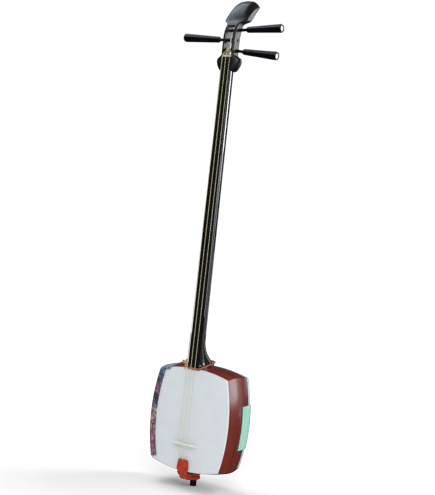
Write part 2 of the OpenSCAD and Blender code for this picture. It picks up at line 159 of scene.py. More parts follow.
def add_world():
    """White to the camera, a soft fill for matt surfaces and nearly dark to mirror surfaces."""
    fill, dark = 0.3, 0.045
    world = bpy.data.worlds.new("studio")
    world.use_nodes = True
    nodes, links = world.node_tree.nodes, world.node_tree.links
    background = nodes["Background"]
    background.inputs["Color"].default_value = (1, 1, 1, 1)
    path = nodes.new("ShaderNodeLightPath")
    matt = nodes.new("ShaderNodeMath")
    matt.operation = "MULTIPLY_ADD"
    matt.inputs[1].default_value = fill - dark
    matt.inputs[2].default_value = dark
    links.new(path.outputs["Is Diffuse Ray"], matt.inputs[0])
    strength = nodes.new("ShaderNodeMath")
    strength.operation = "ADD"
    links.new(path.outputs["Is Camera Ray"], strength.inputs[0])
    links.new(matt.outputs["Value"], strength.inputs[1])
    links.new(strength.outputs["Value"], background.inputs["Strength"])
    bpy.context.scene.world = world
    bpy.context.scene.view_settings.view_transform = "Standard"


# ---- node materials ----


class Surface:
    """A node material. Each method adds one node and returns its output socket."""

    def __init__(self, name, **settings):
        self.material = bpy.data.materials.new(name)
        self.material.use_nodes = True
        self.tree = self.material.node_tree
        self.shader = self.tree.nodes["Principled BSDF"]
        for socket, value in settings.items():
            self.shader.inputs[socket.replace("_", " ")].default_value = value
        self.place = self.tree.nodes.new("ShaderNodeTexCoord").outputs["Object"]

    def feed(self, socket, value):
        if isinstance(value, bpy.types.NodeSocket):
            self.tree.links.new(value, socket)
        elif value is not None:
            socket.default_value = value

    def stretch(self, scale):
        node = self.tree.nodes.new("ShaderNodeMapping")
        self.feed(node.inputs["Vector"], self.place)
        node.inputs["Scale"].default_value = scale
        return node.outputs["Vector"]

    def noise(self, scale, stretch=(1, 1, 1), detail=4.0, distortion=0.0, roughness=0.5):
        node = self.tree.nodes.new("ShaderNodeTexNoise")
        self.feed(node.inputs["Vector"], self.stretch(stretch))
        node.inputs["Scale"].default_value = scale
        node.inputs["Detail"].default_value = detail
        node.inputs["Roughness"].default_value = roughness
        node.inputs["Distortion"].default_value = distortion
        return node.outputs["Fac"]

    def cells(self, scale, stretch=(1, 1, 1), feature="F1"):
        node = self.tree.nodes.new("ShaderNodeTexVoronoi")
        node.feature = feature
        self.feed(node.inputs["Vector"], self.stretch(stretch))
        node.inputs["Scale"].default_value = scale
        return node.outputs["Distance"]

    def wave(self, scale, direction, distortion=0.0, detail=0.0):
        node = self.tree.nodes.new("ShaderNodeTexWave")
        node.bands_direction = direction
        node.wave_profile = "SIN"
        self.feed(node.inputs["Vector"], self.place)
        node.inputs["Scale"].default_value = scale
        node.inputs["Distortion"].default_value = distortion
        node.inputs["Detail"].default_value = detail
        return node.outputs["Fac"]

    def math(self, operation, a, b=None, c=None):
        node = self.tree.nodes.new("ShaderNodeMath")
        node.operation = operation
        for socket, value in zip(node.inputs, (a, b, c)):
            self.feed(socket, value)
        return node.outputs["Value"]

    def axis(self, letter):
        node = self.tree.nodes.new("ShaderNodeSeparateXYZ")
        self.feed(node.inputs["Vector"], self.place)
        return node.outputs[letter]

    def ramp(self, factor, stops):
        node = self.tree.nodes.new("ShaderNodeValToRGB")
        node.color_ramp.interpolation = "LINEAR"
        elements = node.color_ramp.elements
        while len(elements) < len(stops):
            elements.new(0.5)
        for element, (position, colour) in zip(elements, stops):
            element.position = position
            element.color = (*colour, 1)
        self.feed(node.inputs["Fac"], factor)
        return node.outputs["Color"]

    def mix(self, factor, a, b, blend="MIX"):
        node = self.tree.nodes.new("ShaderNodeMix")
        node.data_type = "RGBA"
        node.blend_type = blend
        self.feed(node.inputs["Factor"], factor)
        self.feed(node.inputs["A"], (*a, 1) if isinstance(a, tuple) else a)
        self.feed(node.inputs["B"], (*b, 1) if isinstance(b, tuple) else b)
        return node.outputs["Result"]

    def between(self, factor, low, high):
        """Carries a factor from 0..1 to low..high."""
        node = self.tree.nodes.new("ShaderNodeMapRange")
        self.feed(node.inputs["Value"], factor)
        node.inputs["To Min"].default_value = low
        node.inputs["To Max"].default_value = high
        return node.outputs["Result"]

    def set(self, socket, value):
        self.feed(self.shader.inputs[socket], value)

    def bump(self, height, distance, strength):
        """A bump whose distance is given in millimetres."""
        node = self.tree.nodes.new("ShaderNodeBump")
        node.inputs["Strength"].default_value = strength
        node.inputs["Distance"].default_value = distance * MM
        self.feed(node.inputs["Height"], height)
        self.feed(self.shader.inputs["Normal"], node.outputs["Normal"])


def grain_wood(name, dark, light, grain, **settings):
    """Polished wood whose grain runs along the axis grain ("X" or "Z")."""
    pore_depth = 0.25
    along = {"X": (0.06, 1, 1), "Z": (1, 1, 0.06)}[grain]
    s = Surface(name, **settings)
    figure = s.noise(55, along, detail=6, distortion=0.6)
    streaks = s.noise(900, along, detail=2)
    colour = s.ramp(figure, [(0.3, dark), (0.7, light)])
    pores = s.ramp(streaks, [(0.36, (0.25, 0.2, 0.2)), (0.48, (1, 1, 1))])
    s.set("Base Color", s.mix(pore_depth, colour, s.mix(1.0, colour, pores, "MULTIPLY")))
    s.set("Roughness", s.between(s.noise(30, detail=3), 0.22, 0.36))
    s.bump(streaks, 0.03, 0.12)
    return s.material


def board_wood(name, grain):
    return grain_wood(
        name, (0.125, 0.014, 0.008), (0.23, 0.030, 0.016), grain,
        Coat_Weight=0.8, Coat_Roughness=0.2, Coat_IOR=1.5, Specular_IOR_Level=0.15,
    )


def black_gloss(name, tone, low, high, **settings):
    """Black lacquer with faint handling marks; its roughness runs from low to high."""
    s = Surface(name, **settings)
    cloud = s.noise(40, detail=5)
    s.set("Base Color", s.ramp(cloud, [(0.3, tuple(0.6 * t for t in tone)), (0.7, tone)]))
    s.set("Roughness", s.between(s.noise(130, detail=6, roughness=0.7), low, high))
    s.bump(s.noise(260, detail=2), 0.02, 0.15)
    return s.material


def hide():
    """Stretched hide: pale, faintly mottled, with a very fine fibre."""
    s = Surface("hide", Specular_IOR_Level=0.3)
    mottle = s.noise(38, detail=6, distortion=0.5)
    colour = s.ramp(mottle, [(0.3, (0.70, 0.735, 0.76)), (0.7, (0.74, 0.77, 0.79))])
    fibre = s.noise(1400, (1, 1, 0.3), detail=3)
    s.set("Base Color", s.mix(s.between(fibre, 0, 0.12), colour, (0.62, 0.64, 0.62)))
    s.set("Roughness", s.between(s.noise(90, detail=3), 0.42, 0.56))
    wrinkle = s.cells(240, (1, 1, 0.6), feature="DISTANCE_TO_EDGE")
    s.bump(s.math("ADD", s.math("MULTIPLY", wrinkle, 0.5), fibre), 0.05, 0.35)
    return s.material


def ivory():
    s = Surface("ivory", Coat_Weight=0.3, Coat_Roughness=0.1, Subsurface_Weight=0.08,
                Subsurface_Scale=0.002)
    lines = s.wave(210, "X", distortion=2.5, detail=2)
    cloud = s.noise(60, detail=4)
    colour = s.ramp(cloud, [(0.3, (0.80, 0.795, 0.74)), (0.7, (0.86, 0.86, 0.81))])
    s.set("Base Color", s.mix(s.between(lines, 0, 0.2), colour, (0.76, 0.73, 0.62)))
    s.set("Roughness", s.between(cloud, 0.25, 0.4))
    s.bump(lines, 0.02, 0.2)
    return s.material


def brass():
    s = Surface("nut_metal", Metallic=0.35)
    brushed = s.noise(600, (0.08, 1, 1), detail=3)
    s.set("Base Color", s.ramp(brushed, [(0.3, (0.80, 0.66, 0.36)), (0.7, (0.94, 0.84, 0.58))]))
    s.set("Roughness", s.between(brushed, 0.22, 0.42))
    s.bump(brushed, 0.03, 0.4)
    return s.material


def silk(name, dark, light, sheen=0.25, rough=(0.45, 0.65)):
    """Silk cord: fine threads run over it and catch the light unevenly."""
    thread = 2600
    s = Surface(name, Sheen_Weight=sheen, Sheen_Roughness=0.4)
    threads = s.noise(thread, (1, 1, 0.5), detail=2)
    tone = s.noise(180, detail=3)
    colour = s.ramp(tone, [(0.3, dark), (0.7, light)])
    s.set("Base Color", s.mix(s.between(threads, 0, 0.5), colour, dark))
    s.set("Roughness", s.between(threads, *rough))
    s.bump(threads, 0.08, 0.5)
    return s.material


def brocade():
    """Figured silk: bands of colour up the cover, crossed by petals and a visible weave."""
    s = Surface("brocade", Sheen_Weight=0.35, Sheen_Roughness=0.35)
    cover_rise = 12
    low, high = (BODY_Z - HALF_H) * MM, (BODY_Z + HALF_H + cover_rise) * MM
    drift = s.math("MULTIPLY", s.math("SUBTRACT", s.noise(75, detail=3), 0.5), 0.16)
    height = s.math("DIVIDE", s.math("SUBTRACT", s.axis("Z"), low), high - low)
    band = s.ramp(
        s.math("ADD", height, drift),
        [
            (0.0, (0.80, 0.74, 0.76)), (0.05, (0.33, 0.13, 0.17)), (0.24, (0.40, 0.16, 0.21)),
            (0.33, (0.50, 0.27, 0.21)), (0.46, (0.55, 0.34, 0.27)), (0.53, (0.50, 0.47, 0.52)),
            (0.58, (0.06, 0.04, 0.09)), (0.65, (0.09, 0.05, 0.11)), (0.70, (0.38, 0.20, 0.29)),
            (0.79, (0.36, 0.18, 0.27)), (0.85, (0.10, 0.12, 0.22)), (0.91, (0.13, 0.22, 0.36)),
            (0.97, (0.30, 0.38, 0.50)),
        ],
    )
    petals = s.cells(105, (1, 1, 0.75), feature="DISTANCE_TO_EDGE")
    outline = s.ramp(petals, [(0.05, (1, 1, 1)), (0.13, (0, 0, 0))])
    shade = s.ramp(petals, [(0.1, (0.35, 0.35, 0.35)), (0.4, (0, 0, 0))])
    shaded = s.mix(shade, band, (0.03, 0.02, 0.05))
    figured = s.mix(s.math("MULTIPLY", outline, 0.75), shaded, (0.035, 0.02, 0.05))
    spots = s.ramp(s.cells(150), [(0.16, (0.7, 0.7, 0.7)), (0.24, (0, 0, 0))])
    spotted = s.mix(spots, figured, (0.62, 0.54, 0.60))
    warp = s.wave(700, "Z")
    weft = s.wave(700, "Y")
    weave = s.math("MULTIPLY", warp, weft)
    s.set("Base Color", s.mix(s.between(weave, 0.0, 0.35), spotted, (0.03, 0.02, 0.03)))
    s.set("Roughness", s.between(weave, 0.45, 0.75))
    s.bump(s.math("SUBTRACT", weave, s.math("MULTIPLY", outline, 0.5)), 0.12, 0.6)
    return s.material


def rubber_mesh():
    """Rubberised openwork mat: small square cells in mint green."""
    s = Surface("rubber_mesh", Specular_IOR_Level=0.3)
    cells = s.math("MULTIPLY", s.wave(260, "Z"), s.wave(260, "Y"))
    colour = s.ramp(s.noise(60, detail=4), [(0.3, (0.32, 0.61, 0.48)), (0.7, (0.39, 0.69, 0.55))])
    s.set("Base Color", s.mix(s.between(cells, 0, 0.4), colour, (0.22, 0.5, 0.39)))
    s.set("Roughness", s.between(cells, 0.6, 0.85))
    s.bump(cells, 0.35, 0.6)
    return s.material


MATERIALS = {
    "board_side": board_wood("board_side", "Z"),
    "board_end": board_wood("board_end", "X"),
    "hide": hide(),
    "neck": grain_wood(
        "neck", (0.002, 0.0015, 0.001), (0.007, 0.005, 0.004), "Z",
        Coat_Weight=1.0, Coat_Roughness=0.05, Coat_IOR=1.55, Specular_IOR_Level=0.1,
    ),
    "lacquer": black_gloss(
        "lacquer", (0.008, 0.008, 0.008), 0.34, 0.46,
        Coat_Weight=0.2, Coat_Roughness=0.3, Coat_IOR=1.5, Specular_IOR_Level=0.3,
    ),
    "peg_black": black_gloss(
        "peg_black", (0.003, 0.003, 0.005), 0.3, 0.4,
        Coat_Weight=0.08, Coat_Roughness=0.15, Specular_IOR_Level=0.18,
    ),
    "spike": grain_wood(
        "spike", (0.004, 0.003, 0.002), (0.012, 0.008, 0.006), "Z", Specular_IOR_Level=0.25,
    ),
    "ivory": ivory(),
    "brass": brass(),
    "string": silk("string", (0.66, 0.62, 0.36), (0.82, 0.78, 0.52), sheen=0.1, rough=(0.35, 0.5)),
    "vermilion": silk("vermilion", (0.36, 0.014, 0.005), (0.74, 0.070, 0.018), sheen=0.08),
    "orange": silk("orange", (0.34, 0.07, 0.03), (0.66, 0.22, 0.10)),
    "gold_cord": silk("gold_cord", (0.4, 0.2, 0.06), (0.8, 0.56, 0.26)),
    "brocade": brocade(),
    "rubber_mesh": rubber_mesh(),
}

# ---- mesh helpers ----


def add_piece(name, parts, material, replaces, body="root", sharp=35.0):
    """Makes one mesh piece from parts, each (points in millimetres, faces), smooth but for
    edges that bend by more than sharp degrees."""
    points, faces = [], []
    for part_points, part_faces in parts:
        first = len(points)
        points += [tuple(MM * float(c) for c in p) for p in part_points]
        faces += [[first + i for i in face] for face in part_faces]
    mesh = bpy.data.meshes.new(name)
    mesh.from_pydata(points, [], faces)
    mesh.polygons.foreach_set("use_smooth", [True] * len(faces))
    mesh.set_sharp_from_angle(angle=math.radians(sharp))
    mesh.materials.append(MATERIALS[material])
    piece = bpy.data.objects.new(name, mesh)
    bpy.context.scene.collection.objects.link(piece)
    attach(piece, body)
    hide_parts(*replaces)
    return piece


def add_bevel(piece, width):
    bevel = piece.modifiers.new("edge", "BEVEL")
    bevel.width = width * MM
    bevel.segments = 3
    bevel.limit_method = "ANGLE"
    bevel.angle_limit = math.radians(30)
    bevel.harden_normals = True


def loft(rings):
    """A closed form over rings of equal length, each turning right-handed about the travel."""
    count, n = len(rings), len(rings[0])
    points = [p for ring in rings for p in ring]
    faces = []
    for i in range(count - 1):
        a, b = i * n, (i + 1) * n
        for j in range(n):
            k = (j + 1) % n
            faces.append((a + j, a + k, b + k, b + j))
    faces.append(tuple(range(n - 1, -1, -1)))
    faces.append(tuple((count - 1) * n + j for j in range(n)))
    return points, faces


def unit(vector):
    return vector / np.linalg.norm(vector)


def spline(a, b, c, d, t):
    """The point at t on the smooth curve from b to c, between neighbours a and d."""
    return 0.5 * (2 * b + (c - a) * t + (2 * a - 5 * b + 4 * c - d) * t**2
                  + (3 * b - a - 3 * c + d) * t**3)


def travelled(path):
    """The length of path up to each of its points."""
    return np.concatenate([[0], np.cumsum(np.linalg.norm(np.diff(path, axis=0), axis=1))])


def catmull(points, step):
    """Points every step millimetres along a smooth curve through points."""
    p = np.array(points, float)
    p = np.vstack([2 * p[0] - p[1], p, 2 * p[-1] - p[-2]])
    dense = []
    for a, b, c, d in zip(p[:-3], p[1:-2], p[2:-1], p[3:]):
        dense += [spline(a, b, c, d, t) for t in np.linspace(0, 1, 24, endpoint=False)]
    dense.append(p[-2])
    dense = np.array(dense)
    lengths = travelled(dense)
    marks = np.linspace(0, lengths[-1], max(3, int(lengths[-1] / step) + 1))
    return np.column_stack([np.interp(marks, lengths, dense[:, k]) for k in range(3)])


def straight(points, step):
    """Points every step millimetres along the straight runs between points."""
    runs = [np.linspace(a, b, max(2, int(np.linalg.norm(b - a) / step) + 1))[:-1]
            for a, b in zip(np.array(points[:-1], float), np.array(points[1:], float))]
    return np.vstack([*runs, points[-1]])


def carried_frames(path):
    """Two side vectors at each point of path, carried along without twisting."""
    tangents = np.gradient(path, axis=0)
    first = unit(tangents[0])
    side = unit(np.cross(first, (1, 0, 0) if abs(first[0]) < 0.9 else (0, 1, 0)))
    frames = []
    for tangent in tangents:
        t = unit(tangent)
        side = unit(side - side.dot(t) * t)
        frames.append((side, np.cross(t, side)))
    return frames


def tube(path, radius, sides=12):
    """A round tube; radius is a number or one number for each point."""
    radii = np.broadcast_to(radius, len(path))
    angles = np.linspace(0, 2 * math.pi, sides, endpoint=False)
    return loft([[p + r * (math.cos(a) * u + math.sin(a) * v) for a in angles]
                 for p, r, (u, v) in zip(path, radii, carried_frames(path))])


def laid_rope(path, outer, strands, pitch, sides=8, phase=0.0):
    """Strands laid round each other along path; outer is the rope's radius."""
    ratio = 1 / math.sin(math.pi / strands)
    overlap = 1.04
    strand_r = outer / (1 + ratio) * overlap
    lay_r = outer - strand_r
    travel = travelled(path)
    frames = carried_frames(path)
    parts = []
    for k in range(strands):
        turn = 2 * math.pi * (travel / pitch + k / strands) + phase
        line = np.array([p + lay_r * (math.cos(a) * u + math.sin(a) * v)
                         for p, a, (u, v) in zip(path, turn, frames)])
        parts.append(tube(line, strand_r, sides))
    return parts


def twisted_string(path, radius, pitch):
    """One string of twisted strands, drawn as a lobed section that turns along it."""
    lobes, sides = 3, 12
    travel = travelled(path)
    angles = np.linspace(0, 2 * math.pi, sides, endpoint=False)
    rings = []
    for p, s, (u, v) in zip(path, travel, carried_frames(path)):
        turn = 2 * math.pi * s / pitch
        rings.append([p + radius * (0.86 + 0.14 * abs(math.cos(lobes * a / 2))) *
                      (math.cos(a + turn) * u + math.sin(a + turn) * v) for a in angles])
    return loft(rings)


# ---- carried-over CAD nodes ----


def dress_nodes():
    """Materials and soft edges for the CAD nodes that stay."""
    looks = {
        "board_left": ("board_side", 0.8), "board_right": ("board_side", 0.8),
        "board_top": ("board_end", 0.8), "board_bottom": ("board_end", 0.8),
        "front_skin": ("hide", 0.5), "back_skin": ("hide", 0.5),
        "neck_spike": ("spike", 0.8), "nut": ("brass", 0.3),
        "arm_cover": ("brocade", 0.4), "knee_mat": ("rubber_mesh", 0.4),
    }
    for node, (material, width) in looks.items():
        piece = frame["nodes"][node]
        piece.data.materials.clear()
        piece.data.materials.append(MATERIALS[material])
        add_bevel(piece, width)


# ---- neck ----

NECK_LEN = NUT_Z - TOP_Z
HALF_W_TOP, HALF_W_LOW = 11.3, 13.1
NECK_D, HEEL_D, HEEL_LEN, HEEL_FOOT = 24.0, 68.0, 51.0, 8.5
UPPER_LOW, MIDDLE_LOW, HEADSTOCK_LOW = NUT_Z - 222, NUT_Z - 424, NUT_Z - 28
SLOPE_HIGH, SLOPE_LOW = TOP_Z + 12, TOP_Z + 1


def heel(z):
    return min(1.0, max(0.0, 1 - (z - TOP_Z - HEEL_FOOT) / HEEL_LEN)) ** 2


def neck_front(z):
    """The fingerboard's place in depth; it slopes to just before the skin at its lower end."""
    before_skin = 0.8
    t = min(1.0, max(0.0, (SLOPE_HIGH - z) / (SLOPE_HIGH - SLOPE_LOW)))
    return FINGER_Y + t * (SKIN_Y - before_skin - FINGER_Y)


def neck_ring(z):
    """The neck's section at z: a rounded back and a flat front with small round edges."""
    steps, edge_r = 40, 1
    w = HALF_W_LOW + (HALF_W_TOP - HALF_W_LOW) * (z - TOP_Z) / NECK_LEN
    depth = NECK_D + (HEEL_D - NECK_D) * heel(z)
    power = 2 / (2.1 + 0.6 * heel(z))
    shoulder = 0.35 * depth
    front = neck_front(z)
    back = [
        (w * np.sign(c) * abs(c) ** power, FINGER_Y + shoulder + (depth - shoulder) * s**power, z)
        for c, s in ((math.cos(a), abs(math.sin(a))) for a in np.linspace(0, math.pi, steps + 1))
    ]
    round_edge = [(math.cos(a), math.sin(a)) for a in np.linspace(math.pi, 1.5 * math.pi, 5)]
    left = [(-w + edge_r * (1 + c), front + edge_r * (1 + s), z) for c, s in round_edge]
    right = [(-x, y, z) for x, y, z in reversed(left)]
    return back + left + right


def board_height(x, y):
    """Height of the top board's outside at x, y."""
    radial = END_R + SWELL - SWELL_R + math.sqrt(SWELL_R**2 - y**2)
    return BODY_Z + END_OUT - END_R + math.sqrt(radial**2 - x**2)


def add_neck():
    gap = 0.06
    spans = {
        "neck_upper": (UPPER_LOW, HEADSTOCK_LOW, "upper_neck", 3),
        "neck_middle": (MIDDLE_LOW, UPPER_LOW, "middle_neck", 3),
    }
    for name, (low, high, node, count) in spans.items():
        rings = [neck_ring(z) for z in np.linspace(low + gap, high - gap, count)]
        add_piece(name, [loft(rings)], "neck", replaces=[node])
    heel_low = TOP_Z + HEEL_FOOT
    heights = [TOP_Z + 6, *np.linspace(heel_low, heel_low + HEEL_LEN, 28), MIDDLE_LOW - gap]
    foot = [(x, y, board_height(x, min(y, HALF_BOARD)) + gap) for x, y, _ in neck_ring(TOP_Z + 0.5)]
    rings = [foot] + [neck_ring(z) for z in heights]
    add_piece("neck_lower", [loft(rings)], "neck", replaces=["lower_neck"])


# ---- headstock ----

PEGBOX_W, SLOT_W = 13.5, 8.6
SLOT_LOW, SLOT_HIGH = NUT_Z + 3, NUT_Z + 63
# height above the nut, depth behind the fingerboard, lean, half width, thickness, crown, squareness
HEAD_STATIONS = [
    (-28, 0.8, 0, 16.5, 23.6, 0, 2.8),
    (-24, 0.6, 0, 21, 24.4, 0, 2.6),
    (-17, 0.4, 0, 25.6, 25, 0, 2.4),
    (-9, 0.2, 0, 27.8, 25.5, 0, 2.3),
    (-3.5, 0.1, 0, 26, 25, 0, 2.4),
    (0, 0, 0, 20.5, 24.5, 0, 2.8),
    (3.5, 0, 0, 14.4, 24.5, 0, 5),
    (7, 0, 0, PEGBOX_W, 24.5, 0, 9),
    (34, 0, 0, PEGBOX_W, 24.5, 0, 9),
    (46, 1.2, 8, PEGBOX_W, 24.5, 0, 9),
    (56, 4.2, 16, PEGBOX_W, 23.6, 0, 9),
    (64, 8.6, 14, 13.8, 21, 0.2, 9),
    (69, 12.6, 4, 16, 18.8, 1, 8),
    (74.3, 18, 0, 24.8, 21, 2.5, 8),
    (85.5, 28, 22, 26, 16, 7.5, 8),
    (94, 36.5, 38, 26, 14.5, 10.5, 8),
    (103, 47.5, 52, 26, 11, 13, 8),
    (110.3, 60, 62, 25.2, 7, 13, 7),
    (114, 69, 66, 22.8, 3.4, 11.5, 6),
]


def head_station(u):
    """The headstock's section values at u, counted in stations."""
    last = len(HEAD_STATIONS) - 1
    i = min(int(u), last - 1)
    t = u - i
    a, b, c, d = (np.array(HEAD_STATIONS[k]) for k in (max(i - 1, 0), i, i + 1, min(i + 2, last)))
    return spline(a, b, c, d, t)


def head_ring(station):
    steps = 72
    height, offset, lean, half_w, thick, crown, square = station
    lean = math.radians(lean)
    ring = []
    for angle in np.linspace(0, 2 * math.pi, steps, endpoint=False):
        c, s = math.cos(angle), math.sin(angle)
        x = np.sign(c) * abs(c) ** (2 / square)
        m = np.sign(s) * abs(s) ** (2 / square)
        back = thick / 2 * (1 + m) - crown * (1 - abs(x) ** 3) * max(0.0, -m)
        ring.append((half_w * x, FINGER_Y + offset + math.cos(lean) * back,
                     NUT_Z + height - math.sin(lean) * back))
    return ring


def cutter(part):
    """A hidden mesh that a boolean takes away."""
    points, faces = part
    mesh = bpy.data.meshes.new("cutter")
    mesh.from_pydata([tuple(MM * float(c) for c in p) for p in points], [], faces)
    obj = bpy.data.objects.new("cutter", mesh)
    bpy.context.scene.collection.objects.link(obj)
    return obj


def block(low, high):
    (x0, y0, z0), (x1, y1, z1) = low, high
    return loft([[(x0, y0, z), (x1, y0, z), (x1, y1, z), (x0, y1, z)] for z in (z0, z1)])


def cut_away(piece, parts):
    """Takes parts out of piece for good."""
    for part in parts:
        tool = cutter(part)
        cut = piece.modifiers.new("cut", "BOOLEAN")
        cut.operation = "DIFFERENCE"
        cut.solver = "EXACT"
        cut.object = tool
        graph = bpy.context.evaluated_depsgraph_get()
        mesh = bpy.data.meshes.new_from_object(piece.evaluated_get(graph))
        piece.modifiers.clear()
        piece.data = mesh
        bpy.data.objects.remove(tool)


def add_headstock():
    between = 5
    last = (len(HEAD_STATIONS) - 1) * between
    rings = [head_ring(head_station(i / between)) for i in range(last + 1)]
    piece = add_piece("headstock_shaped", [loft(rings)], "lacquer",
                      replaces=["headstock"])
    half = NUT_SPACING + 1.2
    slope_side = [(-1, 0.1), (0, 0.1), (9, 9), (9, 11), (-1, 11)]
    slope = loft([[(x, FINGER_Y + y, NUT_TOP + z) for y, z in slope_side] for x in (-half, half)])
    slot_low = (-SLOT_W, FINGER_Y - 20, SLOT_LOW)
    slot_high = (SLOT_W, FINGER_Y + 60, SLOT_HIGH)
    nut_seat = (NUT[0] - 0.02, NUT[1] + 0.02)
    holes = [tube(np.array([peg.at(-30), peg.at(30)]), SHAFT_R + 0.05, 48) for peg in PEGS]
    cut_away(piece, [block(slot_low, slot_high), slope, block(*nut_seat), *holes])
    piece.data.polygons.foreach_set("use_smooth", [True] * len(piece.data.polygons))
    piece.data.set_sharp_from_angle(angle=math.radians(32))


# ---- pegs ----

WINDING_R, WINDING_LEN = 5.0, 7.0
SHAFT_R = 3.05
STRING_R = (0.6, 0.5, 0.42)


class Peg:
    """One peg: its place, its outward axis and where its string is wound."""

    def __init__(self, name, string):
        joint = next(j for j in frame["joints"] if j["name"] == f"peg_{name}_turn")
        self.name = name
        self.string = string
        self.body = joint["child"]
        self.centre = np.array(joint["pos_m"]) / MM
        self.axis = np.array(joint["axis"], float)
        corner = node_box(f"peg_{name}")
        outer = corner[1][0] if self.axis[0] > 0 else corner[0][0]
        rim_overhang = 0.9
        self.reach = abs(outer / self.axis[0]) - rim_overhang
        self.side = unit(np.cross(self.axis, (0, 0, 1)))
        self.up = np.cross(self.side, self.axis)

    def at(self, x):
        return self.centre + x * self.axis

    def ring(self, x, radius, flute=0.0):
        """A round section at x, with six shallow hollows of depth flute."""
        points = []
        for angle in np.linspace(0, 2 * math.pi, 72, endpoint=False):
            hollow = 1 - flute * (1 - abs(math.cos(3 * angle)))
            outward = math.cos(angle) * self.side - math.sin(angle) * self.up
            points.append(self.at(x) + radius * hollow * outward)
        return points


PEGS = [Peg("low", 0), Peg("middle", 1), Peg("high", 2)]
CAP_R = 5.6
DISH = 1.6


def add_pegs():
    for peg in PEGS:
        end = peg.reach
        # place along the peg, radius, depth of the hollows
        profile = [
            (-14.6, 2.2, 0), (-14.2, 2.75, 0), (14, 3.3, 0), (19, 3.1, 0), (24, 2.8, 0), (27.5, 3.1, 0),
            (29, 4.0, 0), (31, 5.8, 0.02), (35, 6.25, 0.06), (42, 6.5, 0.1), (60, 7.1, 0.1), (80, 7.8, 0.1),
            (end - 8, 8.6, 0.1), (end - 3.4, 8.8, 0.09), (end - 2.6, 8.7, 0.07), (end - 0.5, 7.8, 0.03),
            (end, 7.4, 0.02), (end, 6.2, 0.0), (end - 0.4, 5.75, 0.0), (end - DISH - 0.4, 5.7, 0.0),
        ]
        add_piece(f"peg_{peg.name}_turned", [loft([peg.ring(*row) for row in profile])], "peg_black",
                  body=peg.body, replaces=[f"peg_{peg.name}"], sharp=28)
        # The white domed caps at the peg ends are real end caps, but their white also paints in the
        # reflection of a bright light on the glossy black peg end.
        seat = end - DISH
        disc = [
            (seat - 0.35, CAP_R), (seat, CAP_R - 0.05), (seat + 0.25, CAP_R - 0.4),
            (seat + 0.45, CAP_R - 1.4), (seat + 0.55, CAP_R - 3.1), (seat + 0.6, 0.6),
        ]
        add_piece(f"cap_{peg.name}_domed", [loft([peg.ring(*row) for row in disc])], "ivory",
                  body=peg.body, replaces=[f"cap_{peg.name}"])
        add_winding(peg)


def add_winding(peg):
    """Turns of string round the shaft: a closed helix over a plain under-layer."""
    thick = 2 * STRING_R[peg.string]
    points_per_turn = 22
    low, high = winding_span(peg)
    lay = WINDING_R - thick / 2 - 0.05
    turns = (high - low - thick) / (thick * 1.02)
    count = int(turns * points_per_turn)
    line = []
    for i in range(count + 1):
        angle = 2 * math.pi * turns * i / count
        x = low + thick / 2 + (high - low - thick) * i / count
        line.append(peg.at(x) + lay * (math.cos(angle) * peg.side + math.sin(angle) * peg.up))
    inset, inner, outer = 0.3, 3.2, lay - 0.2
    under = [(low + inset, inner), (low + inset, outer), (high - inset, outer), (high - inset, inner)]
    parts = [tube(np.array(line), thick / 2, 8), loft([peg.ring(*row) for row in under])]
    add_piece(f"winding_{peg.name}_turns", parts, "string", body=peg.body,
              replaces=[f"winding_{peg.name}"])


def winding_span(peg):
    """Where a peg's winding starts and ends along its axis."""
    low, high = node_box(f"winding_{peg.name}")
    middle = (low[0] + high[0]) / 2 / peg.axis[0]
    return middle - WINDING_LEN / 2, middle + WINDING_LEN / 2


# ---- strings, bridge and tailpiece ----

BRIDGE = node_box("bridge")
BRIDGE_Z = (BRIDGE[0][2] + BRIDGE[1][2]) / 2
BRIDGE_TOP = BRIDGE[0][1]
BRAID = node_box("tailpiece_braid")
NUT_SPACING, BRIDGE_SPACING, TAIL_SPACING = 8.8, 9.6, 8.0
STRING_GAP = 0.3


def touch(p, centre, r):
    """Where a line from p touches a circle on its upper side, both in the YZ plane."""
    d = p - centre
    angle = math.atan2(d[1], d[0]) - math.acos(r / np.linalg.norm(d))
    return centre + r * np.array([math.cos(angle), math.sin(angle)])


def string_points(i):
    """Where string i bends: at the tailpiece, the bridge, the nut and its peg. The first string
    lies lower than the others at the nut."""
    peg = PEGS[i]
    r = STRING_R[i]
    lift = 0.2 if i == 0 else 1.15
    at_nut = np.array([FINGER_Y - lift - r, NUT_TOP])
    end = touch(at_nut, peg.centre[1:], WINDING_R + r + 0.35)
    low, high = winding_span(peg)
    wound_x = (low + high) / 2 * peg.axis[0]
    side = i - 1
    return [
        (side * TAIL_SPACING, SKIN_Y - 4, BRAID[1][2] + 0.1),
        (side * BRIDGE_SPACING, BRIDGE_TOP - STRING_GAP - r, BRIDGE_Z - 3),
        (side * NUT_SPACING, *at_nut),
        (wound_x, *end),
    ]


def add_strings():
    for i in range(3):
        r = STRING_R[i]
        points = string_points(i)
        path = straight(points, 0.9 * r + 0.45)
        first, second = np.array(points[0]), np.array(points[1])
        knot_path = straight([first, 0.93 * first + 0.07 * second], 0.4)
        wraps = laid_rope(knot_path, 1.9 * r, 3, 2.6)
        add_piece(f"string_{i + 1}_twisted", [twisted_string(path, r, 8 * r), *wraps], "string",
                  replaces=[f"string_{i + 1}"], sharp=80)


